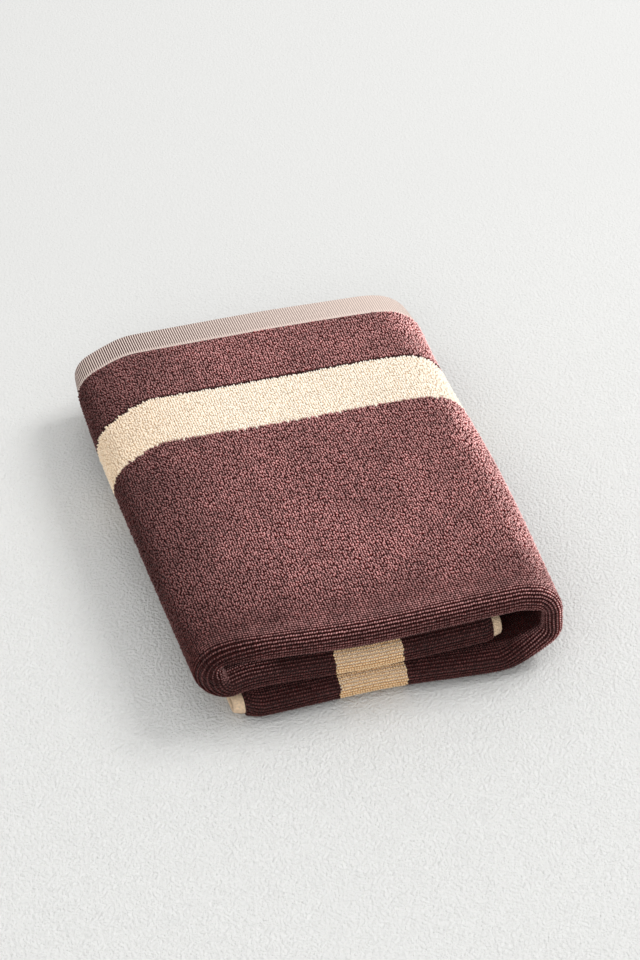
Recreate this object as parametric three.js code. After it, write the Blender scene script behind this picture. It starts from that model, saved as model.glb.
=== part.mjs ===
// A terry bath mat with flat-woven hems, folded in thirds both ways and lying on a flat surface.
// Millimetres. +X runs across the folded mat, +Y back from the front fold to the end hem, +Z up.
// The origin is on the surface, under the middle of the folded mat.
//
// The mat is folded twice. First its length is folded in thirds, which makes a band of three
// layers with a round fold along the front. Then the band is folded in thirds across, like a
// letter, which stacks three runs of it: the middle run, the top run and the bottom run.
import * as THREE from "three";

// The cloth
const TERRY_THICKNESS = 4.5;
const HEM_THICKNESS = 3;
const EDGE_ROUNDING = { share: 0.7, over: 1 };
const END_HEM_WIDTH = 17.5;
const HEM_STEP = 1.5;
const LAYER_GAP = 0.6;

// The band of three layers
const BAND_THICKNESS = 3 * TERRY_THICKNESS + 2 * LAYER_GAP;
const BAND_DEPTH = 245.5;
const BACK_FOLD_INSET = 7;
const TUCKED_HEM_INSET = 15;

// The stack of three runs
const RUN_GAP = 0.7;
const RUN_PITCH = BAND_THICKNESS + RUN_GAP;
const STACK_WIDTH = 182;
const INNER_END_X = 152.3;
const OUTER_END_X = 17.2;
const BACK_FLATTENING = 0.105;
const BACK_FLATTENING_DEPTH = 60;
const MIDDLE_SAG = 0.026;

// How the side folds run, at the front of the stack and at its back. Each has an angle and a
// radius for how the stack dips towards the left fold, for the brow over the right fold and for
// its foot, where it comes down to the bottom run. Between those two the right fold has a
// shoulder, a short upright stretch, a corner and a slanted stretch.
const SIDE_FOLDS = {
  front: { dip: [18, 50], brow: [8, 60], shoulderRadius: 8, cornerRadius: 5, foot: [27, 26] },
  back: { dip: [24.5, 50], brow: [9, 60], shoulderRadius: 15, cornerRadius: 13, foot: [8, 60] },
};
const SLANT_SHARE = 0.45;

// How far the stack's left and right sides lie from straight, by the share of the way back
const SIDE_EDGES = [
  { wayBack: 0, left: 0, right: 0 },
  { wayBack: 0.4, left: -4.9, right: 2.9 },
  { wayBack: 0.8, left: -8.5, right: -0.4 },
  { wayBack: 0.92, left: -8, right: 0.6 },
  { wayBack: 1, left: -6.2, right: -1.4 },
];

// Place by place along the band: how far its front fold and its back edge are drawn in, and its
// share of the full thickness. It is thinner at its ends and where the right fold pulls it tight.
const ALONG_THE_BAND = [
  { place: "inner end", front: 1.3, back: 6, thickness: 0.75 },
  { place: "middle run thickens", front: -0.9, back: 6, thickness: 1 },
  { place: "middle run halfway", front: -1.6, back: 6, thickness: 1 },
  { place: "middle run ends", front: 2, back: 6, thickness: 1 },
  { place: "left fold starts", front: 1.6, back: 5.1, thickness: 1 },
  { place: "left fold halfway", front: 5, back: 4, thickness: 1 },
  { place: "left fold ends", front: 6.5, back: 2.2, thickness: 0.9 },
  { place: "top run starts", front: 4.8, back: -2.4, thickness: 0.95 },
  { place: "top run halfway", front: -0.3, back: -1.8, thickness: 1 },
  { place: "brow starts", front: 0.5, back: 1.6, thickness: 1 },
  { place: "shoulder starts", front: -0.8, back: 2.4, thickness: 1 },
  { place: "right fold halfway", front: -5.5, back: 6.5, thickness: 0.62 },
  { place: "foot starts", front: -8.6, back: 6, thickness: 0.85 },
  { place: "bottom run starts", front: -8, back: 6, thickness: 1 },
  { place: "bottom run halfway", front: -2.7, back: 6, thickness: 1 },
  { place: "bottom run thins", front: -3.2, back: 6, thickness: 1 },
  { place: "outer end", front: 1.5, back: 6, thickness: 0.69 },
];
const INNER_THINNING = 10;
const OUTER_THINNING = 14;

// How finely the shape is cut into faces
const HALF_RUN_STEPS = 4;
const SHORT_STEPS = 2;
const GENTLE_STEPS = 3;
const TIGHT_STEPS = 10;
const WIDE_STEPS = 6;
const FRONT_FOLD_STEPS = 9;
const BACK_FOLD_STEPS = 6;
const LAYER_STEPS = 5;
const LAYER_END_STEPS = 3;

const radians = THREE.MathUtils.degToRad;

// Walks a line of straight stretches and arcs in the X-Z plane, as seen from the front.
class Walk {
  constructor(x, z, heading) {
    Object.assign(this, { x, z, heading, points: [{ x, z, heading }], marks: {} });
  }

  mark(place) {
    this.marks[place] = this.points.length - 1;
    return this;
  }

  halfway(place, steps) {
    this.marks[place] = this.points.length - 1 - Math.round(steps / 2);
    return this;
  }

  go(length, steps) {
    const { x, z } = this;
    for (let i = 1; i <= steps; i++) {
      this.x = x + (Math.cos(this.heading) * length * i) / steps;
      this.z = z + (Math.sin(this.heading) * length * i) / steps;
      this.points.push({ x: this.x, z: this.z, heading: this.heading });
    }
    return this;
  }

  turnLeft(radius, angle, steps) {
    return this.arc(radius, angle, steps, 1);
  }

  turnRight(radius, angle, steps) {
    return this.arc(radius, angle, steps, -1);
  }

  arc(radius, angle, steps, side) {
    const centreX = this.x - side * radius * Math.sin(this.heading);
    const centreZ = this.z + side * radius * Math.cos(this.heading);
    const start = this.heading;
    for (let i = 1; i <= steps; i++) {
      this.heading = start + (side * angle * i) / steps;
      this.x = centreX + side * radius * Math.sin(this.heading);
      this.z = centreZ - side * radius * Math.cos(this.heading);
      this.points.push({ x: this.x, z: this.z, heading: this.heading });
    }
    return this;
  }
}

// The middle of the band, from its inner end under the top run to its outer end at the bottom
// left. The band lies on the surface along the bottom run.
function bandLine({ dip: [dipAngle, dipRadius], brow: [browAngle, browRadius],
  shoulderRadius, cornerRadius, foot: [footAngle, footRadius] }) {
  const dip = radians(dipAngle);
  const brow = radians(browAngle);
  const foot = radians(footAngle);
  const half = BAND_THICKNESS / 2;
  const leftRadius = RUN_PITCH / 2;
  const middleZ = half + RUN_PITCH;
  const topZ = half + 2 * RUN_PITCH;

  const leftFoldWidth = leftRadius + (dipRadius - leftRadius) * Math.sin(dip);
  const middleRun = INNER_END_X - half - leftFoldWidth;
  const browDrop = browRadius * (1 - Math.cos(brow));
  const browWidth = browRadius * Math.sin(brow);
  const footRise = footRadius * (1 - Math.cos(foot));
  const footWidth = footRadius * Math.sin(foot);
  const shoulderDrop = shoulderRadius * Math.cos(brow);
  const cornerDrop = cornerRadius * Math.cos(foot);
  const straightDrop = topZ - half - browDrop - shoulderDrop - cornerDrop - footRise;
  const slant = (straightDrop * SLANT_SHARE) / Math.sin(foot);
  const lowerWidth = cornerRadius * (1 - Math.sin(foot)) + slant * Math.cos(foot);
  const rightFoldWidth = browWidth + shoulderRadius * (1 - Math.sin(brow));
  const topRun = STACK_WIDTH - BAND_THICKNESS - leftFoldWidth - rightFoldWidth;
  const bottomRun = STACK_WIDTH - half - lowerWidth - footWidth - OUTER_END_X;

  return new Walk(INNER_END_X, middleZ, Math.PI)
    .mark("inner end")
    .go(INNER_THINNING, SHORT_STEPS)
    .mark("middle run thickens")
    .go(middleRun / 2 - INNER_THINNING, HALF_RUN_STEPS - 1)
    .mark("middle run halfway")
    .go(middleRun / 2, HALF_RUN_STEPS)
    .mark("middle run ends")
    .turnLeft(dipRadius - RUN_PITCH, dip, GENTLE_STEPS)
    .mark("left fold starts")
    .turnRight(leftRadius, Math.PI, TIGHT_STEPS)
    .halfway("left fold halfway", TIGHT_STEPS)
    .mark("left fold ends")
    .turnRight(dipRadius, dip, GENTLE_STEPS)
    .mark("top run starts")
    .go(topRun / 2, HALF_RUN_STEPS)
    .mark("top run halfway")
    .go(topRun / 2, HALF_RUN_STEPS)
    .mark("brow starts")
    .turnRight(browRadius, brow, SHORT_STEPS)
    .mark("shoulder starts")
    .turnRight(shoulderRadius, Math.PI / 2 - brow, WIDE_STEPS)
    .mark("right fold halfway")
    .go(straightDrop * (1 - SLANT_SHARE), SHORT_STEPS)
    .turnRight(cornerRadius, Math.PI / 2 - foot, WIDE_STEPS - 1)
    .go(slant, SHORT_STEPS)
    .mark("foot starts")
    .turnRight(footRadius, foot, GENTLE_STEPS)
    .mark("bottom run starts")
    .go(bottomRun / 2, HALF_RUN_STEPS)
    .mark("bottom run halfway")
    .go(bottomRun / 2 - OUTER_THINNING, HALF_RUN_STEPS - 1)
    .mark("bottom run thins")
    .go(OUTER_THINNING, SHORT_STEPS)
    .mark("outer end");
}

// A smooth line through a table's values, level at its turning points
function smoothTable(rows, key, value) {
  const at = rows.map((row) => row[key]);
  const v = rows.map((row) => row[value]);
  const rise = v.slice(1).map((next, i) => (next - v[i]) / (at[i + 1] - at[i]));
  const slope = v.map((_, i) => {
    const before = rise[Math.max(i - 1, 0)];
    const after = rise[Math.min(i, rise.length - 1)];
    return before * after > 0 ? (2 * before * after) / (before + after) : 0;
  });
  return (where) => {
    let i = 0;
    while (i < at.length - 2 && where > at[i + 1]) i++;
    const span = at[i + 1] - at[i];
    const t = THREE.MathUtils.clamp((where - at[i]) / span, 0, 1);
    const rest = 1 - t;
    return (
      rest * rest * (v[i] * (1 + 2 * t) + slope[i] * span * t) +
      t * t * (v[i + 1] * (1 + 2 * rest) - slope[i + 1] * span * rest)
    );
  };
}

// The stations along the band, with all that a point of the cloth there depends on
function bandStations() {
  const front = bandLine(SIDE_FOLDS.front);
  const back = bandLine(SIDE_FOLDS.back);
  const along = [0];
  front.points.slice(1).forEach((point, i) => {
    const last = front.points[i];
    along.push(along[i] + Math.hypot(point.x - last.x, point.z - last.z));
  });
  const places = ALONG_THE_BAND.map((row) => ({ ...row, at: along[front.marks[row.place]] }));
  const drawnInFront = smoothTable(places, "at", "front");
  const drawnInBack = smoothTable(places, "at", "back");
  const thickness = smoothTable(places, "at", "thickness");
  return front.points.map((point, i) => ({
    front: point,
    back: back.points[i],
    drawnInFront: drawnInFront(along[i]),
    drawnInBack: drawnInBack(along[i]),
    thickness: thickness(along[i]),
  }));
}

// The cloth's middle through the three layers of the band: how far back, how far out from the
// band's own middle, which way the cloth's outer side faces there, and half its thickness.
function clothLine() {
  const line = [];
  const add = (y, out, faceY, faceOut, half = TERRY_THICKNESS / 2) =>
    line.push({ y, out, faceY, faceOut, half });
  const layer = (from, to, out, faceOut, steps) => {
    for (let i = 1; i <= steps; i++) {
      add(THREE.MathUtils.lerp(from, to, i / steps), out, 0, faceOut);
    }
  };
  const fold = (y, middleOut, radius, startAngle, steps) => {
    for (let i = 1; i <= steps; i++) {
      const angle = startAngle - (Math.PI * i) / steps;
      const faceY = Math.sin(angle);
      const faceOut = Math.cos(angle);
      add(y + radius * faceY, middleOut + radius * faceOut, faceY, faceOut);
    }
  };
  const hem = HEM_THICKNESS / 2;
  const hemEdge = EDGE_ROUNDING.share * hem;
  const pitch = TERRY_THICKNESS + LAYER_GAP;
  const frontY = BAND_THICKNESS / 2;
  const backY = BAND_DEPTH - BACK_FOLD_INSET - pitch / 2;
  const flatteningY = BAND_DEPTH - BACK_FLATTENING_DEPTH;

  // The outer layer, from the end hem that shows to the front fold
  const hemY = BAND_DEPTH - END_HEM_WIDTH;
  add(BAND_DEPTH, pitch, 0, 1, hemEdge);
  add(BAND_DEPTH - EDGE_ROUNDING.over, pitch, 0, 1, hem);
  add(hemY, pitch, 0, 1, hem);
  add(hemY - HEM_STEP, pitch, 0, 1);
  layer(hemY - HEM_STEP, flatteningY, pitch, 1, LAYER_END_STEPS);
  layer(flatteningY, frontY, pitch, 1, LAYER_STEPS);
  fold(frontY, 0, pitch, 0, FRONT_FOLD_STEPS);
  // The inner layer, from the front fold to the back fold
  layer(frontY, flatteningY, -pitch, -1, LAYER_STEPS);
  layer(flatteningY, backY, -pitch, -1, LAYER_END_STEPS);
  fold(backY, -pitch / 2, pitch / 2, Math.PI, BACK_FOLD_STEPS);
  // The layer between them, from the back fold to the end hem that is tucked in
  const tuckedY = TUCKED_HEM_INSET + END_HEM_WIDTH;
  layer(backY, flatteningY, 0, 1, LAYER_END_STEPS - 1);
  layer(flatteningY, tuckedY + HEM_STEP, 0, 1, LAYER_STEPS);
  add(tuckedY, 0, 0, 1, hem);
  add(TUCKED_HEM_INSET + EDGE_ROUNDING.over, 0, 0, 1, hem);
  add(TUCKED_HEM_INSET, 0, 0, 1, hemEdge);
  return line;
}

// Where a point of the cloth lies: y back from the front fold, out from the middle of the band.
// Where the band is thinner, its outer side stays in place, and its front fold is less deep.
function clothPoint(station, y, out) {
  const { front, back, thickness, drawnInFront, drawnInBack } = station;
  const half = BAND_THICKNESS / 2;
  const thinned = half - (half - out) * thickness;
  const wayBack = THREE.MathUtils.clamp(y / BAND_DEPTH, 0, 1);
  const heading = THREE.MathUtils.lerp(front.heading, back.heading, wayBack);
  const atX = THREE.MathUtils.lerp(front.x, back.x, wayBack);
  const atZ = THREE.MathUtils.lerp(front.z, back.z, wayBack);
  const x = atX - Math.sin(heading) * thinned;
  const z = atZ + Math.cos(heading) * thinned;
  const foldDepth = Math.max(0, half - y) * (1 - thickness);
  const placedY = y + foldDepth + drawnInFront * (1 - wayBack) - drawnInBack * wayBack;
  const share = THREE.MathUtils.clamp(placedY / BAND_DEPTH, 0, 1);
  const nearBack = 1 - (BAND_DEPTH - placedY) / BACK_FLATTENING_DEPTH;
  const flatter = 1 - BACK_FLATTENING * THREE.MathUtils.clamp(nearBack, 0, 1) ** 2;
  const sagging = 1 - MIDDLE_SAG * Math.sin(Math.PI * share);
  const sideways = THREE.MathUtils.lerp(leftEdge(share), rightEdge(share), x / STACK_WIDTH);
  return [x + sideways, placedY, z * flatter * sagging];
}

// The whole mat is its cloth line's outline, carried along the band and closed at both ends.
function foldedMat() {
  const stations = bandStations();
  const line = clothLine();
  const side = (sign) =>
    line.map((p) => new THREE.Vector2(
      p.y + sign * p.half * p.faceY,
      p.out + sign * p.half * p.faceOut,
    ));
  const outline = [...side(1), ...side(-1).reverse()];
  const count = outline.length;
  const positions = stations.flatMap((station) =>
    outline.flatMap((p) => clothPoint(station, p.x, p.y)),
  );

  const faces = [];
  for (let i = 0; i < stations.length - 1; i++) {
    for (let j = 0; j < count; j++) {
      const a = i * count + j;
      const b = i * count + ((j + 1) % count);
      faces.push(a, b, a + count, b, b + count, a + count);
    }
  }
  const last = (stations.length - 1) * count;
  for (let j = 0; j < line.length - 1; j++) {
    const [a, b, c, d] = [j, j + 1, count - 2 - j, count - 1 - j];
    faces.push(a, c, b, a, d, c);
    faces.push(last + a, last + b, last + c, last + a, last + c, last + d);
  }

  const geometry = new THREE.BufferGeometry();
  geometry.setAttribute("position", new THREE.Float32BufferAttribute(positions, 3));
  geometry.setIndex(faces);
  geometry.computeBoundingBox();
  const { min, max } = geometry.boundingBox;
  geometry.translate(-(min.x + max.x) / 2, -(min.y + max.y) / 2, -min.z);
  geometry.computeVertexNormals();
  return geometry;
}

const leftEdge = smoothTable(SIDE_EDGES, "wayBack", "left");
const rightEdge = smoothTable(SIDE_EDGES, "wayBack", "right");

const terry = new THREE.MeshStandardMaterial({ color: 0x7a4f4d, roughness: 0.95, metalness: 0 });
const mat = new THREE.Mesh(foldedMat(), terry);
mat.name = "bath_mat";

const part = new THREE.Group();
part.add(mat);

export default part;
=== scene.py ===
import math

import bpy
import numpy as np
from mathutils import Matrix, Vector


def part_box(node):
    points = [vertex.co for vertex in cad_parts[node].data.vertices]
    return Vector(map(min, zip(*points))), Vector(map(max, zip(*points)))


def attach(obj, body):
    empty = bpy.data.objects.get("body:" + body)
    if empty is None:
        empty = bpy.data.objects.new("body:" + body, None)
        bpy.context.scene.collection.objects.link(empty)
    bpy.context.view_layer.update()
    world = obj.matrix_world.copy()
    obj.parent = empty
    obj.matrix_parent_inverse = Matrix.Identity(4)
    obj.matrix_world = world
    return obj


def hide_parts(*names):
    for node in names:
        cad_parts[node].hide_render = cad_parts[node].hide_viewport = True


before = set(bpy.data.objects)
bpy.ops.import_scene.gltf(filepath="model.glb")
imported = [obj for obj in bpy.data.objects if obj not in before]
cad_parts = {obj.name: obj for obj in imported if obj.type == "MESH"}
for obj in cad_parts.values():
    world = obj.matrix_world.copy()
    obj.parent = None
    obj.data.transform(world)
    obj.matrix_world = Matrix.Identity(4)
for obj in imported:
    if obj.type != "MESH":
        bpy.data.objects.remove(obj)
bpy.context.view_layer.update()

MM = 0.001

# The cloth
TERRY = 4.5 * MM
HEM = 3.2 * MM
END_HEM = 17.5 * MM
SIDE_HEM = 5 * MM
LAYER_GAP = 0.6 * MM
COLUMN = 1.27 * MM
ROW = 1.3 * MM

# The band of three layers
BAND = 3 * TERRY + 2 * LAYER_GAP
LAYER_PITCH = TERRY + LAYER_GAP
BAND_DEPTH = 245.5 * MM
BACK_FOLD_INSET = 7 * MM
TUCKED_HEM_INSET = 15 * MM

# The stack of three runs
RUN_PITCH = BAND + 0.7 * MM
STACK_WIDTH = 182 * MM
INNER_END_X = 152.3 * MM
OUTER_END_X = 17.2 * MM
BACK_FLATTENING = 0.105
BACK_FLATTENING_DEPTH = 60 * MM
MIDDLE_SAG = 0.026

# How the side folds run, at the front of the stack and at its back: the angle in degrees and the
# radius in mm of the dip towards the left fold, of the brow over the right fold and of its foot,
# and the radius of its shoulder above and of its corner below
SIDE_FOLDS = {
    "front": dict(dip=(18, 50), brow=(8, 60), shoulder=8, corner=5, foot=(27, 26)),
    "back": dict(dip=(24.5, 50), brow=(9, 60), shoulder=15, corner=13, foot=(8, 60)),
}

# Share of the way back, and how far the left and right sides lie from straight there, in mm
SIDE_EDGES = [
    (0, 0, 0),
    (0.4, -4.9, 2.9),
    (0.8, -8.5, -0.4),
    (0.92, -8, 0.6),
    (1, -6.2, -1.4),
]

# Place along the band: how far its front fold and its back edge are drawn in there, in mm, and its
# share of the full thickness, which is less at its ends and where the right fold pulls it tight
ALONG_THE_BAND = [
    ("inner end", 1.3, 6, 0.75),
    ("middle run thickens", -0.9, 6, 1),
    ("middle run halfway", -1.6, 6, 1),
    ("middle run ends", 2, 6, 1),
    ("left fold starts", 1.6, 5.1, 1),
    ("left fold halfway", 5, 4, 1),
    ("left fold ends", 6.5, 2.2, 0.9),
    ("top run starts", 4.8, -2.4, 0.95),
    ("top run halfway", -0.3, -1.8, 1),
    ("brow starts", 0.5, 1.6, 1),
    ("shoulder starts", -0.8, 2.4, 1),
    ("right fold halfway", -5.5, 6.5, 0.62),
    ("foot starts", -8.6, 6, 0.85),
    ("bottom run starts", -8, 6, 1),
    ("bottom run halfway", -2.7, 6, 1),
    ("bottom run thins", -3.2, 6, 1),
    ("outer end", 1.5, 6, 0.69),
]
INNER_THINNING = 10 * MM
OUTER_THINNING = 14 * MM

# Share of the way from the foot's rise up to the right fold's middle that its slanted part takes
SLANT_SHARE = 0.45

# Soft unevenness of the top run: along the band from the run's middle, back from its front,
# how far each swell or dip reaches, and how high it is, all in millimetres
SWELLS = [
    (-44, 158, 26, 0.6),
    (-14, 96, 21, -0.5),
    (26, 124, 23, 0.6),
    (47, 58, 19, -0.45),
    (-52, 52, 21, 0.5),
    (8, 178, 19, -0.4),
    (58, 182, 24, 0.5),
    (4, 40, 17, 0.35),
]

# The woven stripe frame, measured in from the mat's edges
SIDE_STRIPE_IN = 51.5 * MM
END_STRIPE_IN = 59.1 * MM
STRIPE = 33.7 * MM

# The pile: the ground under it lies lower by the drop, and the loops stand up from there
PILE_DROP = 0.85 * MM
LOOP_RISE = 1.0 * MM
# A loop on the flat top and on the front folds: its length and width in mm, and how far it slants
# from the mat's length, in degrees
FLAT_LOOP = dict(length=2.1, width=0.98, slant=8)
FOLD_LOOP = dict(length=1.14, width=1.6, slant=24)
# Rows of loops that go on past the front fold, and how much further they go inside the tunnel
ROWS_PAST_FOLD = 4
TUNNEL_PILE = 35 * MM
# How far the rows are drawn apart over the left fold
LEFT_FOLD_SPREAD = 1.45

# How far the frame's edge slews towards the front over the left fold, place by place, in mm
STRIPE_SLEW = [
    ("inner end", 0),
    ("middle run ends", 0),
    ("left fold halfway", 6.5),
    ("left fold ends", 3.4),
    ("top run starts", 0),
    ("outer end", 0),
]

# Colours, linear
DARK_TERRY = (0.38, 0.150, 0.142)
CREAM_TERRY = (0.96, 0.89, 0.79)
CREAM_HEM = (0.88, 0.66, 0.45)
HEM_PALE_LINE = (0.85, 0.71, 0.63)
HEM_DARK_LINE = (0.03, 0.010, 0.007)
HEM_FLECK = (0.56, 0.36, 0.34)
PALE_FLOOR = (0.545, 0.545, 0.535)

# What the terry's colours are multiplied by: painted shade at a loop's foot and a painted highlight at
# its tip, painted light where the light from the right grazes it, and painted shade where it lies in the
# shade
DARK_FOOT_SHADE = (0.33, 0.075, 0.07)
TIP_LIGHT = (1.95, 2.8, 2.85)
SIDE_LIGHT = (1.55, 1.75, 1.75)
DARK_SHADE = (0.075, 0.018, 0.014)
CREAM_FOOT_SHADE = (0.97, 0.94, 0.89)
SHADED_CREAM_FOOT = (0.62, 0.45, 0.29)
CREAM_SHADE = (1.0, 0.84, 0.60)

# The camera, as the photo has it: seen from the front left and above
VIEW_AZIMUTH = math.radians(-16.6)
VIEW_ELEVATION = math.radians(43.5)
VIEW_DISTANCE = 1.4
VIEW_AIM = (97.96 * MM, 131.2 * MM, 20 * MM)
FOCAL_SHARE = 2719 / 640


class Walk:
    """A line of straight stretches and arcs, seen from the front, with its heading at each point."""

    def __init__(self, x, z, heading):
        self.points = [(x, z, heading)]
        self.marks = {}

    def mark(self, place):
        self.marks[place] = len(self.points) - 1
        return self

    def go(self, length, steps):
        x, z, heading = self.points[-1]
        for i in range(1, steps + 1):
            gone = length * i / steps
            self.points.append((x + gone * math.cos(heading), z + gone * math.sin(heading), heading))
        return self

    def turn(self, radius, angle, steps):
        x, z, start = self.points[-1]
        side = math.copysign(radius, angle)
        centre_x, centre_z = x - side * math.sin(start), z + side * math.cos(start)
        for i in range(1, steps + 1):
            heading = start + angle * i / steps
            self.points.append(
                (centre_x + side * math.sin(heading), centre_z - side * math.cos(heading), heading)
            )
        return self


def band_line(dip, brow, shoulder, corner, foot):
    """The middle of the band, from its inner end under the top run to its outer end at the left."""
    (dip, dip_radius), (brow, brow_radius), (foot, foot_radius) = (
        (math.radians(angle), radius * MM) for angle, radius in (dip, brow, foot)
    )
    shoulder, corner = shoulder * MM, corner * MM
    left_radius = RUN_PITCH / 2
    top_z = BAND / 2 + 2 * RUN_PITCH
    left_width = left_radius + (dip_radius - left_radius) * math.sin(dip)
    brow_drop = brow_radius * (1 - math.cos(brow))
    foot_rise = foot_radius * (1 - math.cos(foot))
    rise = 2 * RUN_PITCH - brow_drop - shoulder * math.cos(brow) - foot_rise
    slant = (rise - corner * math.cos(foot)) * SLANT_SHARE / math.sin(foot)
    upright = (rise - corner * math.cos(foot)) * (1 - SLANT_SHARE)
    right_width = brow_radius * math.sin(brow) + shoulder * (1 - math.sin(brow))
    lower_width = corner * (1 - math.sin(foot)) + slant * math.cos(foot) + foot_radius * math.sin(foot)
    middle_run = INNER_END_X - BAND / 2 - left_width
    top_run = STACK_WIDTH - BAND - left_width - right_width
    bottom_run = STACK_WIDTH - BAND / 2 - lower_width - OUTER_END_X
    walk = Walk(INNER_END_X, top_z - RUN_PITCH, math.pi).mark("inner end")
    walk.go(INNER_THINNING, 8).mark("middle run thickens")
    walk.go(middle_run / 2 - INNER_THINNING, 25).mark("middle run halfway")
    walk.go(middle_run / 2, 30).mark("middle run ends")
    walk.turn(dip_radius - RUN_PITCH, dip, 16).mark("left fold starts")
    walk.turn(left_radius, -math.pi / 2, 20).mark("left fold halfway")
    walk.turn(left_radius, -math.pi / 2, 20).mark("left fold ends")
    walk.turn(dip_radius, -dip, 20).mark("top run starts")
    walk.go(top_run / 2, 30).mark("top run halfway").go(top_run / 2, 30).mark("brow starts")
    walk.turn(brow_radius, -brow, 8).mark("shoulder starts")
    walk.turn(shoulder, brow - math.pi / 2, 30).mark("right fold halfway")
    walk.go(upright, 8).turn(corner, foot - math.pi / 2, 24).go(slant, 10).mark("foot starts")
    walk.turn(foot_radius, -foot, 10).mark("bottom run starts")
    walk.go(bottom_run / 2, 30).mark("bottom run halfway")
    walk.go(bottom_run / 2 - OUTER_THINNING, 25).mark("bottom run thins")
    walk.go(OUTER_THINNING, 10).mark("outer end")
    return walk


def smooth_table(at, values):
    """A smooth line through a table's values, level at its turning points."""
    at, values = np.array(at, float), np.array(values, float)
    rise = np.diff(values) / np.diff(at)
    before = np.concatenate([rise[:1], rise])
    after = np.concatenate([rise, rise[-1:]])
    same = before * after > 0
    total = np.where(same, before + after, 1)
    slope = np.where(same, 2 * before * after / total, 0)

    def read(where):
        i = np.clip(np.searchsorted(at, where) - 1, 0, len(at) - 2)
        span = at[i + 1] - at[i]
        t = np.clip((where - at[i]) / span, 0, 1)
        rest = 1 - t
        left = rest**2 * (values[i] * (1 + 2 * t) + slope[i] * span * t)
        return left + t**2 * (values[i + 1] * (1 + 2 * rest) - slope[i + 1] * span * rest)

    return read


class Band:
    """The folded band: where the cloth lies, from the place along the band, the way back and out."""

    def __init__(self):
        front = band_line(**SIDE_FOLDS["front"])
        self.front = np.array(front.points)
        self.back = np.array(band_line(**SIDE_FOLDS["back"]).points)
        gone = np.hypot(*np.diff(self.front[:, :2], axis=0).T)
        self.along = np.concatenate([[0], np.cumsum(gone)])
        self.length = self.along[-1]
        self.mark = {place: self.along[i] for place, i in front.marks.items()}
        places = [self.mark[row[0]] for row in ALONG_THE_BAND]
        self.drawn_front = smooth_table(places, [row[1] * MM for row in ALONG_THE_BAND])
        self.drawn_back = smooth_table(places, [row[2] * MM for row in ALONG_THE_BAND])
        self.thickness = smooth_table(places, [row[3] for row in ALONG_THE_BAND])
        back_share = [row[0] for row in SIDE_EDGES]
        self.left_edge = smooth_table(back_share, [row[1] * MM for row in SIDE_EDGES])
        self.right_edge = smooth_table(back_share, [row[2] * MM for row in SIDE_EDGES])
        slewed = [self.mark[row[0]] for row in STRIPE_SLEW]
        self.slew = smooth_table(slewed, [row[1] * MM for row in STRIPE_SLEW])
        self.shift = np.zeros(3)

    def place(self, s, y, out):
        s, y, out = np.broadcast_arrays(s, y, out)
        way_back = np.clip(y / BAND_DEPTH, 0, 1)
        front = [np.interp(s, self.along, self.front[:, k]) for k in range(3)]
        back = [np.interp(s, self.along, self.back[:, k]) for k in range(3)]
        at_x, at_z, heading = (a + (b - a) * way_back for a, b in zip(front, back))
        # Where the band is thinner, its outer side stays, and its front fold is less deep
        thickness = self.thickness(s)
        out = BAND / 2 - (BAND / 2 - out) * thickness
        x = at_x - np.sin(heading) * out
        z = at_z + np.cos(heading) * out
        y = y + np.maximum(BAND / 2 - y, 0) * (1 - thickness)
        y = y + self.drawn_front(s) * (1 - way_back) - self.drawn_back(s) * way_back
        share = np.clip(y / BAND_DEPTH, 0, 1)
        near_back = np.clip(1 - (BAND_DEPTH - y) / BACK_FLATTENING_DEPTH, 0, 1)
        z = z * (1 - BACK_FLATTENING * near_back**2) * (1 - MIDDLE_SAG * np.sin(math.pi * share))
        for along, back_y, reach, rise in SWELLS:
            aside = s - self.mark["top run halfway"] - along * MM
            away = (aside**2 + (y - back_y * MM) ** 2) / (reach * MM) ** 2
            z = z + rise * MM * np.exp(-away)
        across = x / STACK_WIDTH
        x = x + self.left_edge(share) * (1 - across) + self.right_edge(share) * across
        return np.stack([x, y, z], -1) + self.shift


class ClothLine:
    """The cloth through the three layers of the band, measured along its length from the end hem
    that shows: how far back it is, how far out from the band's middle, and which way it faces."""

    def __init__(self):
        rows = []
        back_y = BAND_DEPTH - BACK_FOLD_INSET - LAYER_PITCH / 2
        rows += self.layer(BAND_DEPTH, BAND / 2, LAYER_PITCH, 1)
        rows += self.fold(BAND / 2, 0, LAYER_PITCH, 0)
        rows += self.layer(BAND / 2, back_y, -LAYER_PITCH, -1)
        rows += self.fold(back_y, -LAYER_PITCH / 2, LAYER_PITCH / 2, math.pi)
        rows += self.layer(back_y, TUCKED_HEM_INSET, 0, 1)
        self.rows = np.array(rows)
        gone = np.hypot(*np.diff(self.rows[:, :2], axis=0).T)
        self.along = np.concatenate([[0], np.cumsum(gone)])
        self.length = self.along[-1]
        self.front_fold = (BAND_DEPTH - BAND / 2, BAND_DEPTH - BAND / 2 + math.pi * LAYER_PITCH)

    @staticmethod
    def layer(start, end, out, face_out):
        return [(y, out, 0, face_out) for y in np.linspace(start, end, 40)]

    @staticmethod
    def fold(y, middle_out, radius, start):
        angles = start - np.linspace(0, math.pi, 60)[1:-1]
        return [
            (y + radius * math.sin(a), middle_out + radius * math.cos(a), math.sin(a), math.cos(a))
            for a in angles
        ]

    def at(self, t):
        return [np.interp(t, self.along, self.rows[:, k]) for k in range(4)]


def surface(band, line, s, t, height):
    """Points of the cloth at s across the mat and t along it, at a height over its middle."""
    y, out, face_y, face_out = line.at(t)
    return band.place(s, y + face_y * height, out + face_out * height)


def pieces_of(length, fine, coarse, places):
    """Steps from 0 to length, fine over each of the places and coarse between them."""
    steps = [0.0]
    while steps[-1] < length:
        at = steps[-1]
        near = any(a - coarse <= at < b for a, b in places)
        steps.append(at + (fine if near else coarse))
    return np.array(steps) * (length / steps[-1])


def ramp(value, low, high):
    return np.clip((value - low) / (high - low), 0, 1)


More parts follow.
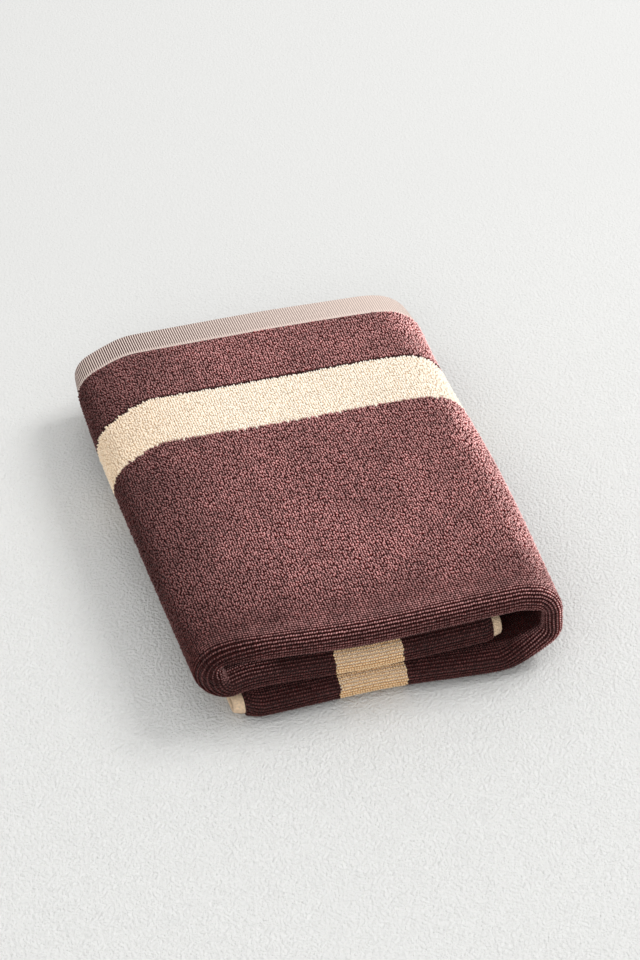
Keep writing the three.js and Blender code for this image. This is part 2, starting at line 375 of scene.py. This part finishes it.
def pile_share(band, line, s, t):
    """1 where the outer side of the cloth carries loops, 0 where it doesn't: over the top run with
    both side folds, and along the front folds of all three runs."""
    left = band.mark["left fold starts"] - 6 * MM
    right = band.mark["bottom run starts"] + 6 * MM
    top = np.minimum(ramp(s, left - 5 * MM, left), 1 - ramp(s, right, right + 5 * MM))
    top = top * (t < line.front_fold[0])
    first = line.front_fold[0] - ROWS_PAST_FOLD * ROW
    last = line.front_fold[1] + ROWS_PAST_FOLD * ROW
    in_tunnel = (s > band.mark["brow starts"]) & (s < band.mark["bottom run starts"] + 20 * MM)
    last = np.where(in_tunnel, last + TUNNEL_PILE, last)
    front = np.minimum(ramp(t, first - 3 * MM, first), 1 - ramp(t, last, last + 3 * MM))
    from_side = np.minimum(s, band.length - s)
    hems = ramp(from_side, SIDE_HEM - 0.5 * MM, SIDE_HEM) * ramp(t, END_HEM, END_HEM + 0.7 * MM)
    return np.maximum(top, front) * hems


def cloth_half(band, line, s, t):
    """Half the cloth's thickness: full in the terry, less at the hems, and rounded at the edges."""
    from_side = np.minimum(s, band.length - s)
    from_end = np.minimum(t, line.length - t)
    side = ramp(from_side, SIDE_HEM, SIDE_HEM + 1.2 * MM)
    end = ramp(from_end, END_HEM, END_HEM + 1.2 * MM)
    half = HEM / 2 + (TERRY - HEM) / 2 * np.minimum(side, end)
    edge = ramp(np.minimum(from_side, from_end), 0, 0.8 * MM)
    return half * (0.6 + 0.4 * np.sqrt(1 - (1 - edge) ** 2))


def new_piece(name, points, faces, material, uv=None, **values):
    """A piece from its points and its faces, all with as many corners, and values at its points."""
    mesh = bpy.data.meshes.new(name)
    mesh.vertices.add(len(points))
    mesh.vertices.foreach_set("co", points.astype(np.float32).ravel())
    mesh.loops.add(faces.size)
    mesh.loops.foreach_set("vertex_index", faces.astype(np.int32).ravel())
    mesh.polygons.add(len(faces))
    mesh.polygons.foreach_set("loop_start", np.arange(0, faces.size, faces.shape[1], dtype=np.int32))
    mesh.update(calc_edges=True)
    mesh.validate()
    if uv is not None:
        layer = mesh.uv_layers.new(name="cloth")
        layer.uv.foreach_set("vector", uv[faces.ravel()].astype(np.float32).ravel())
    for key, value in values.items():
        mesh.attributes.new(key, "FLOAT", "POINT").data.foreach_set("value", value.astype(np.float32))
    mesh.materials.append(material)
    mesh.shade_smooth()
    piece = bpy.data.objects.new(name, mesh)
    bpy.context.scene.collection.objects.link(piece)
    return piece


def weave_cloth(band, line, material):
    """The whole mat as one closed sheet, both faces of the cloth and its cut edges."""
    folds = [
        (band.mark["middle run ends"], band.mark["top run starts"]),
        (band.mark["brow starts"], band.mark["bottom run starts"]),
        (-1, SIDE_HEM + 2 * MM),
        (band.length - SIDE_HEM - 2 * MM, band.length),
    ]
    s = pieces_of(band.length, 1.8 * MM, 4.5 * MM, folds)
    s = np.concatenate([[0, 0.3 * MM, 0.8 * MM], s[1:-1], band.length - np.array([0.8, 0.3, 0]) * MM])
    first, last = line.front_fold
    back = 2 * BAND_DEPTH - BACK_FOLD_INSET - BAND
    folds = [
        (-1, END_HEM + 2 * MM),
        (first - 6 * MM, last + 6 * MM),
        (last + back - first - 8 * MM, last + back - first + 16 * MM),
        (line.length - END_HEM - 2 * MM, line.length),
    ]
    t = pieces_of(line.length, 1.4 * MM, 4.5 * MM, folds)
    t = np.concatenate([[0, 0.3 * MM, 0.8 * MM], t[1:-1], line.length - np.array([0.8, 0.3, 0]) * MM])
    s_grid, t_grid = np.meshgrid(s, t, indexing="ij")
    half = cloth_half(band, line, s_grid, t_grid)
    # The columns of the weave keep their width where a fold's outer side is longer
    steps = np.linalg.norm(np.diff(surface(band, line, s_grid, t_grid, half), axis=0), axis=2)
    columns = np.insert(np.cumsum(steps, 0), 0, 0, 0)
    columns -= columns[np.argmin(abs(s - band.mark["top run halfway"]))]
    piled = pile_share(band, line, s_grid, t_grid)
    outer = surface(band, line, s_grid, t_grid, half - PILE_DROP * piled)
    inner = surface(band, line, s_grid, t_grid, -half)[:, ::-1]
    points = np.concatenate([outer, inner], 1)
    uv = np.stack([s_grid, t_grid], -1)
    uv = np.concatenate([uv, uv[:, ::-1]], 1)
    rows, count = points.shape[:2]
    i, j = np.meshgrid(np.arange(rows - 1), np.arange(count), indexing="ij")
    a = i * count + j
    b = i * count + (j + 1) % count
    walls = np.stack([a, b, b + count, a + count], -1).reshape(-1, 4)
    j = np.arange(len(t) - 1)
    start = np.stack([j, count - 1 - j, count - 2 - j, j + 1], -1)
    end = start[:, ::-1] + (rows - 1) * count
    faces = np.concatenate([walls, start, end])
    values = dict(
        piled=np.concatenate([piled, np.zeros_like(piled)], 1).ravel(),
        column=np.concatenate([columns, columns[:, ::-1]], 1).ravel(),
        slewed=(uv[..., 1] - band.slew(uv[..., 0])).ravel(),
    )
    points, uv = points.reshape(-1, 3), uv.reshape(-1, 2)
    return new_piece("bath_mat_cloth", points, faces, material, uv=uv, **values)


def dome(sides, rings, top):
    """A low closed dome: rings of (height, radius) from the bottom up, and its top."""
    points, faces = [], []
    for height, radius in rings:
        for k in range(sides):
            angle = 2 * math.pi * k / sides
            points.append((radius * math.cos(angle), radius * math.sin(angle), height))
    points.append((0, 0, top))
    for ring in range(len(rings) - 1):
        for k in range(sides):
            a, b = ring * sides + k, ring * sides + (k + 1) % sides
            faces += [(a, b, b + sides), (a, b + sides, a + sides)]
    last = (len(rings) - 1) * sides
    faces += [(last + k, last + (k + 1) % sides, len(points) - 1) for k in range(sides)]
    faces += [(0, k + 1, k) for k in range(1, sides - 1)]
    return np.array(points), np.array(faces)


FINE_LOOP = dome(5, [(-0.5, 0.75), (0.15, 1.0), (0.68, 0.72)], 1.0)
PLAIN_LOOP = dome(4, [(-0.5, 0.95), (0.42, 1.06)], 1.0)


def loop_places(band, line):
    """Where each loop stands: s and t, in rows, with the loops of a row evenly apart. Round the
    front fold the rows go by distance on the cloth, also where the band is pulled thin."""
    fine_s = np.linspace(0, band.length, 1600)
    first, last = line.front_fold
    fine_t = np.arange(first, last + TUNNEL_PILE + 12 * MM, 0.3 * MM)
    steps = np.diff(surface(band, line, fine_s[:, None], fine_t[None], 0), axis=1)
    gone = np.insert(np.cumsum(np.linalg.norm(steps, axis=2), 1), 0, 0, 1)
    # Over the left fold the cloth is drawn out, and its rows stand further apart
    marks = [band.mark["left fold starts"], band.mark["left fold halfway"]]
    drawn = np.interp(fine_s, [*marks, band.mark["top run starts"] + 8 * MM], [1, LEFT_FOLD_SPREAD, 1])
    ahead = ROW * (np.arange(int((gone[:, -1] / drawn).min() / ROW)) + 0.5)
    ahead = np.array([np.interp(ahead * d, column, fine_t) for d, column in zip(drawn, gone)]).T
    behind = first - ROW * (np.arange(int((first - END_HEM) / ROW), 0, -1) - 0.5)
    behind = np.broadcast_to(behind[:, None], (len(behind), len(fine_s)))
    middle = band.mark["top run halfway"]
    found = []
    for t in np.concatenate([behind, ahead]):
        steps = np.diff(surface(band, line, fine_s, t, TERRY / 2), axis=0)
        gone = np.concatenate([[0], np.cumsum(np.linalg.norm(steps, axis=1))])
        start = np.interp(middle, fine_s, gone) % COLUMN
        s = np.interp(np.arange(start, gone[-1], COLUMN), gone, fine_s)
        # Straight columns along the side hems
        hem_loops = np.array([SIDE_HEM, band.length - SIDE_HEM]) + np.array([0.7, -0.7]) * COLUMN
        s = s[(s > hem_loops[0] + 0.6 * COLUMN) & (s < hem_loops[1] - 0.6 * COLUMN)]
        s = np.concatenate([hem_loops[:1], s, hem_loops[1:]])
        place = np.stack([s, np.interp(s, fine_s, t)], -1)
        found.append(place[pile_share(band, line, *place.T) > 0.5])
    return np.concatenate(found)


def under_top_run(band, s):
    """1 on the two runs that lie under the top run, 0 on it and over its side folds."""
    middle_run = 1 - ramp(s, band.mark["left fold starts"] - 25 * MM, band.mark["left fold halfway"])
    return np.maximum(middle_run, ramp(s, band.mark["right fold halfway"], band.mark["foot starts"]))


def axes_at(band, line, s, t, height):
    """Points of the cloth with three unit directions at each: along s, along t and outward."""
    step = 0.2 * MM
    at = surface(band, line, s, t, height)
    right = surface(band, line, s + step, t, height) - at
    along = surface(band, line, s, t + step, height) - at
    outward = surface(band, line, s, t, height + step) - at
    right /= np.linalg.norm(right, axis=1)[:, None]
    up = np.cross(along, right)
    up /= np.linalg.norm(up, axis=1)[:, None]
    up *= np.sign((up * outward).sum(1))[:, None]
    down = np.cross(right, up)
    down *= np.sign((down * along).sum(1))[:, None]
    return at, right, down, up


def stripe_at(band, s, slewed, chance):
    """Whether each loop is cream. The stripe's inner edge is a little ragged."""
    from_side = np.minimum(s, band.length - s)
    ragged = slewed + chance.normal(0, 0.22, len(s)) * ROW
    inner = (from_side > SIDE_STRIPE_IN + STRIPE) & (ragged > END_STRIPE_IN + STRIPE)
    outer = (from_side > SIDE_STRIPE_IN) & (slewed > END_STRIPE_IN)
    return outer & ~inner


def shade_at(band, line, s, t, slewed, is_cream, shade_under_top, up):
    """How far each loop lies in the shade, from 0 to 1."""
    first, last = line.front_fold
    # The loops that don't face up, or right to the light, lie in the shade of their neighbours
    turned = 0.68 * ramp(1 - up[:, 2], 0.03, 0.5) * (1 - ramp(up[:, 0], 0.1, 0.6))
    # Painted shade towards the left fold, and past the front fold inside the tunnel
    left = (s - band.mark["left fold halfway"]) / MM
    left = np.interp(left, [0, 14, 32, 65], [0.6, 0.6, 0.28, 0]) * (t < last)
    inside = ramp(t, last - 2 * MM, last + 4 * MM)
    # The top run falls away from the light just before its front fold
    falling = 0.42 * ramp(t, first - 36 * MM, first - 8 * MM)
    falling *= 1 - ramp(t, first + 1 * MM, first + 5 * MM)
    shaded = 1 - (1 - turned) * (1 - left) * (1 - falling)
    shaded *= np.where(is_cream & (t < first), 0.45, 1)
    # The last dark row before the frame's far edge gets painted shadow, as if it stood in a deep groove
    edge_shadow_row = (slewed > END_STRIPE_IN - 1.1 * ROW) & (slewed < END_STRIPE_IN)
    # Painted shade on the runs under the top run
    return np.maximum.reduce([shaded, 0.9 * shade_under_top, inside, 0.9 * edge_shadow_row])


def raise_loops(band, line, name, places, shape, material, chance):
    """One piece of pile: a dome for each loop, on the cloth's outer side."""
    template, faces = shape
    count = len(places)
    s, t = places.T
    # Along the front fold the loops keep their rows; further back they stand about loosely
    loose = 1 - ramp(t, line.front_fold[0] - 22 * MM, line.front_fold[0])
    across = chance.normal(0, 0.06, count) + loose * chance.uniform(-0.13, 0.13, count)
    along = chance.normal(0, 0.04, count) + loose * chance.uniform(-0.4, 0.4, count)
    s_at, t_at = s + across * COLUMN, t + along * ROW
    at, right, down, up = axes_at(band, line, s_at, t_at, TERRY / 2 - PILE_DROP)
    slant = FOLD_LOOP["slant"] + (FLAT_LOOP["slant"] - FOLD_LOOP["slant"]) * loose
    slant = np.radians(slant + chance.normal(0, 7, count) + loose * chance.uniform(-26, 26, count))
    long_side = down * np.cos(slant)[:, None] + right * np.sin(slant)[:, None]
    short_side = np.cross(up, long_side)
    lean = chance.normal(0, 0.14, (count, 2)) * (0.4 + loose)[:, None]
    rise = LOOP_RISE * (1 + chance.normal(0, 0.12, count) * (0.3 + loose))
    size = 1 + chance.normal(0, 0.06, count)
    width, length = (
        (FOLD_LOOP[key] + (FLAT_LOOP[key] - FOLD_LOOP[key]) * loose)[:, None] * MM
        for key in ("width", "length")
    )
    x = template[:, 0] * width / 2
    y = template[:, 1] * length / 2
    z = template[:, 2]
    tall = rise[:, None] * z
    points = (
        at[:, None]
        + short_side[:, None] * ((size[:, None] * x) + lean[:, :1] * tall)[..., None]
        + long_side[:, None] * ((size[:, None] * y) + lean[:, 1:] * tall)[..., None]
        + up[:, None] * tall[..., None]
    )
    # Pressed flat where the mat lies on the surface
    points[..., 2] = np.maximum(points[..., 2], 0)
    each = len(template)
    # A closed dome must face outward whichever way its two sides turn
    mirrored = (np.cross(short_side, long_side) * up).sum(1) < 0
    all_faces = np.arange(count)[:, None, None] * each + faces
    all_faces[mirrored] = all_faces[mirrored][:, :, ::-1]
    tone = np.repeat(chance.uniform(0, 1, count), each)
    slewed = t - band.slew(s)
    is_cream = stripe_at(band, s_at, slewed, chance)
    # Painted shade on the runs under the top run; painted side light on loops that face right, except
    # there
    shade_under_top = under_top_run(band, s_at)
    values = dict(
        tone=tone,
        cream=np.repeat(is_cream.astype(float), each),
        depth=np.tile(z, count),
        shaded=np.repeat(shade_at(band, line, s, t, slewed, is_cream, shade_under_top, up), each),
        lit=np.repeat(ramp(up[:, 0], 0.1, 0.45) * (1 - shade_under_top), each),
    )
    return new_piece(name, points.reshape(-1, 3), all_faces.reshape(-1, 3), material, **values)


def plant_pile(band, line, material):
    chance = np.random.default_rng(7)
    places = loop_places(band, line)
    near_front = places[:, 1] > line.front_fold[0] - 6 * MM
    in_front, behind = places[near_front], places[~near_front]
    in_front = in_front[np.argsort(in_front[:, 0], kind="stable")]
    pieces = []
    for k, part in enumerate(np.array_split(in_front, 2)):
        pieces.append(raise_loops(band, line, f"front_pile_{k + 1}", part, FINE_LOOP, material, chance))
    for k, part in enumerate(np.array_split(behind, 3)):
        pieces.append(raise_loops(band, line, f"top_pile_{k + 1}", part, PLAIN_LOOP, material, chance))
    return pieces


class Maker:
    """Short ways to add and join shader nodes."""

    def __init__(self, name):
        self.material = bpy.data.materials.new(name)
        self.material.use_nodes = True
        self.tree = self.material.node_tree
        self.shader = self.tree.nodes["Principled BSDF"]

    def add(self, kind, inputs=(), out=0, **settings):
        node = self.tree.nodes.new(kind)
        for key, value in settings.items():
            setattr(node, key, value)
        for key, value in dict(inputs).items():
            if isinstance(value, bpy.types.NodeSocket):
                self.tree.links.new(value, node.inputs[key])
            else:
                node.inputs[key].default_value = value
        return node.outputs[out]

    def math(self, operation, a, b=0.0, c=0.0):
        return self.add("ShaderNodeMath", {0: a, 1: b, 2: c}, operation=operation)

    def mix(self, share, a, b, blend="MIX"):
        kind = dict(data_type="RGBA", blend_type=blend)
        a, b = (v if isinstance(v, bpy.types.NodeSocket) else (*v, 1.0) for v in (a, b))
        return self.add("ShaderNodeMix", {0: share, 6: a, 7: b}, out=2, **kind)

    def times(self, a, b):
        return self.mix(1.0, a, b, "MULTIPLY")

    def attribute(self, name):
        return self.add("ShaderNodeAttribute", out=2, attribute_name=name)

    def spread(self, value, low, high, to_low=0.0, to_high=1.0, smooth=False):
        kind = "SMOOTHSTEP" if smooth else "LINEAR"
        inputs = {0: value, 1: low, 2: high, 3: to_low, 4: to_high}
        return self.add("ShaderNodeMapRange", inputs, interpolation_type=kind)

    def noise(self, place, scale, detail=2.0, roughness=0.5):
        inputs = {"Vector": place, "Scale": scale, "Detail": detail, "Roughness": roughness}
        return self.add("ShaderNodeTexNoise", inputs)

    def link(self, value, socket):
        self.tree.links.new(value, self.shader.inputs[socket])


def terry_finish(m):
    m.shader.inputs["Roughness"].default_value = 0.95
    m.shader.inputs["Specular IOR Level"].default_value = 0.12
    m.shader.inputs["Sheen Weight"].default_value = 0.18
    m.shader.inputs["Sheen Roughness"].default_value = 0.4
    m.shader.inputs["Sheen Tint"].default_value = (1.0, 0.72, 0.70, 1.0)


def grey(m, value):
    return m.add("ShaderNodeCombineColor", {0: value, 1: value, 2: value})


def loop_material():
    """One loop of yarn: its own tone, with painted shade that makes it darker and deeper in colour towards
    its foot, a painted highlight at its tip, and painted side light and shade.
    """
    m = Maker("terry_loops")
    tone, cream, depth, shaded, lit = (
        m.attribute(name) for name in ("tone", "cream", "depth", "shaded", "lit")
    )
    place = m.add("ShaderNodeTexCoord", out=3)
    patch = m.spread(m.noise(place, 38, 3), 0.35, 0.65, 0.86, 1.12)
    strength = m.math("MULTIPLY", m.spread(tone, 0, 1, 0.65, 1.45), patch)
    quiet = m.math("MULTIPLY_ADD", m.math("SUBTRACT", strength, 1), 0.12, 0.97)
    dark = m.times(DARK_TERRY, grey(m, strength))
    pale = m.times(CREAM_TERRY, grey(m, quiet))
    # Painted shade towards each loop's foot and a painted highlight towards its tip
    towards_tip = m.spread(depth, 0.45, 1.0, 0, 1)
    dark = m.mix(towards_tip, m.times(dark, DARK_FOOT_SHADE), m.times(dark, TIP_LIGHT))
    # Painted light where the light from the right grazes a loop, and painted shade where it lies in the
    # shade
    dark = m.mix(lit, dark, m.times(dark, SIDE_LIGHT))
    dark = m.mix(shaded, dark, m.times(dark, DARK_SHADE))
    # Cream loops: painted shade at their feet, stronger and warmer where they lie in the shade, and
    # painted shade over the whole loop there
    hollow_shade = m.mix(shaded, CREAM_FOOT_SHADE, SHADED_CREAM_FOOT)
    pale = m.mix(towards_tip, m.times(pale, hollow_shade), pale)
    pale = m.mix(shaded, pale, m.times(pale, CREAM_SHADE))
    m.link(m.mix(cream, dark, pale), "Base Color")
    terry_finish(m)
    return m.material


def cloth_material(band, line):
    """The dark and cream terry with its hems, laid out by the mat's own width and length."""
    m = Maker("terry_cloth")
    place = m.add("ShaderNodeUVMap", uv_map="cloth")
    split = m.tree.nodes.new("ShaderNodeSeparateXYZ")
    m.tree.links.new(place, split.inputs[0])
    across, along = split.outputs[0], split.outputs[1]

    def from_edge(value, length):
        return m.math("MINIMUM", value, m.math("SUBTRACT", length, value))

    side = from_edge(across, band.length)
    end = from_edge(along, line.length)
    column = m.attribute("column")
    slewed = from_edge(m.attribute("slewed"), line.length)

    def within(inset):
        from_side = m.math("SUBTRACT", side, SIDE_STRIPE_IN + inset)
        return m.math("MINIMUM", from_side, m.math("SUBTRACT", slewed, END_STRIPE_IN + inset))

    cream = m.math(
        "MULTIPLY",
        m.math("GREATER_THAN", within(0), 0),
        m.math("LESS_THAN", within(STRIPE), 0),
    )
    is_side_hem = m.math("LESS_THAN", side, SIDE_HEM)
    is_end_hem = m.math("LESS_THAN", end, END_HEM)

    # Terry without loops of its own: their relief, and the shade between them
    cells = m.add(
        "ShaderNodeCombineXYZ", {0: m.math("DIVIDE", column, COLUMN), 1: m.math("DIVIDE", along, ROW)}
    )
    loop = m.add(
        "ShaderNodeTexVoronoi",
        {"Vector": cells, "Scale": 1.0, "Randomness": 0.62},
        voronoi_dimensions="2D",
    )
    gap = m.spread(loop, 0.25, 0.62, 0, 1, smooth=True)
    patch = m.spread(m.noise(place, 45, 3), 0.35, 0.65, 0.88, 1.08)
    dark = m.times(tuple(c * 0.62 for c in DARK_TERRY), grey(m, patch))
    pale = tuple(c * 0.9 for c in CREAM_TERRY)
    terry = m.mix(cream, dark, pale)
    shade = m.mix(cream, (0.30, 0.25, 0.25), (0.78, 0.68, 0.55))
    terry = m.mix(gap, terry, m.times(terry, shade))
    # Painted shade on the ground between the raised loops, where the cloth carries pile
    ground_shade = m.mix(cream, (0.14, 0.035, 0.033), (0.92, 0.84, 0.74))
    terry = m.mix(m.attribute("piled"), terry, m.times(terry, ground_shade))

    # End hem: fine dark and cream warp lines that run to the edge, fainter along its seam and
    # towards the right
    line_at = m.math("FRACT", m.math("DIVIDE", column, COLUMN))
    pin = m.spread(m.math("ABSOLUTE", m.math("SUBTRACT", line_at, 0.5)), 0.16, 0.25, 0, 1)
    pin = m.math("MULTIPLY", pin, m.spread(column, -70 * MM, 70 * MM, 1, 0.4))
    hem_noise = m.spread(m.noise(place, 900, 2), 0.3, 0.7, 0, 1)
    pin = m.math("MULTIPLY", pin, m.spread(end, END_HEM - 2.6 * MM, END_HEM, 1, 0.35))
    hem = m.mix(pin, HEM_PALE_LINE, HEM_DARK_LINE)
    hem = m.mix(m.math("MULTIPLY", hem_noise, 0.1), hem, HEM_FLECK)
    side_hem = m.mix(hem_noise, CREAM_HEM, tuple(c * 0.72 for c in CREAM_HEM))
    colour = m.mix(is_end_hem, terry, hem)
    colour = m.mix(is_side_hem, colour, side_hem)
    m.link(colour, "Base Color")

    loop_rise = m.math("SUBTRACT", 1, gap)
    weave = m.math("MULTIPLY", m.math("SINE", m.math("MULTIPLY", along, 2 * math.pi / (0.7 * MM))), 0.25)
    weave = m.math("ADD", weave, m.math("MULTIPLY", pin, -0.5))
    is_hem = m.math("MAXIMUM", is_side_hem, is_end_hem)
    rise = m.add("ShaderNodeMix", {0: is_hem, 2: loop_rise, 3: weave}, data_type="FLOAT")
    m.link(m.add("ShaderNodeBump", {"Strength": 0.9, "Distance": 0.5 * MM, "Height": rise}), "Normal")
    terry_finish(m)
    return m.material


def floor_material():
    """Pale plaster with more grain towards the camera, and painted light that makes it paler there."""
    m = Maker("pale_plaster")
    place = m.add("ShaderNodeTexCoord", out=3)
    split = m.tree.nodes.new("ShaderNodeSeparateXYZ")
    m.tree.links.new(place, split.inputs[0])
    near = m.spread(split.outputs[1], -0.15, 0.25, 1.0, 0.25)
    grain = m.math("MULTIPLY", m.noise(place, 640, 3, 0.6), near)
    # Painted light: the plaster's colour is made paler towards the camera
    m.link(m.mix(near, PALE_FLOOR, tuple(1.33 * c for c in PALE_FLOOR)), "Base Color")
    m.shader.inputs["Roughness"].default_value = 0.8
    m.shader.inputs["Specular IOR Level"].default_value = 0.2
    m.link(m.add("ShaderNodeBump", {"Strength": 1.0, "Distance": 2.3 * MM, "Height": grain}), "Normal")
    return m.material


def lay_floor():
    bpy.ops.mesh.primitive_plane_add(size=8, location=(0, 0, 0))
    floor = bpy.context.object
    floor.name = "floor"
    floor.data.materials.append(floor_material())


def add_light(name, place, size, power):
    data = bpy.data.lights.new(name, "AREA")
    data.shape = "DISK"
    data.size = size
    data.energy = power
    light = bpy.data.objects.new(name, data)
    light.location = place
    light.rotation_euler = (-Vector(place)).to_track_quat("-Z", "Y").to_euler()
    bpy.context.scene.collection.objects.link(light)


def light_studio():
    world = bpy.data.worlds.new("studio")
    world.use_nodes = True
    world.node_tree.nodes["Background"].inputs[0].default_value = (1, 1, 1, 1)
    world.node_tree.nodes["Background"].inputs[1].default_value = 0.84
    bpy.context.scene.world = world
    add_light("window", (1.9, 0.5, 2.0), 1.2, 45)
    add_light("ceiling", (0.2, 0.3, 2.6), 2.4, 8)
    add_light("front_fill", (-1.0, -1.6, 1.3), 1.6, 11)
    bpy.context.scene.view_settings.view_transform = "Standard"


def set_camera(band):
    data = bpy.data.cameras.new("camera")
    data.sensor_fit = "HORIZONTAL"
    data.sensor_width = 36
    data.lens = 36 * FOCAL_SHARE
    camera = bpy.data.objects.new("camera", data)
    level = math.cos(VIEW_ELEVATION)
    back = Vector(
        (math.sin(VIEW_AZIMUTH) * level, -math.cos(VIEW_AZIMUTH) * level, math.sin(VIEW_ELEVATION))
    )
    camera.location = Vector(VIEW_AIM) + Vector(band.shift) + back * VIEW_DISTANCE
    camera.rotation_euler = back.to_track_quat("Z", "Y").to_euler()
    bpy.context.scene.collection.objects.link(camera)
    bpy.context.scene.camera = camera


def line_up(band, line):
    """Moves the band across and back, not up or down, so that the cloth's box has its middle over the CAD
    node's box's middle.
    """
    s = np.linspace(0, band.length, 400)[:, None]
    t = np.linspace(0, line.length, 500)[None]
    points = np.concatenate([surface(band, line, s, t, h).reshape(-1, 3) for h in (-TERRY / 2, TERRY / 2)])
    low, high = (np.array(corner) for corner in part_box("bath_mat"))
    shift = (low + high) / 2 - (points.min(0) + points.max(0)) / 2
    band.shift = np.array([shift[0], shift[1], 0])


for o in bpy.context.selected_objects:
    o.select_set(False)
band, line = Band(), ClothLine()
line_up(band, line)
set_camera(band)
light_studio()
lay_floor()
cloth = weave_cloth(band, line, cloth_material(band, line))
pile = plant_pile(band, line, loop_material())
for piece in (cloth, *pile):
    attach(piece, "root")
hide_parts("bath_mat")
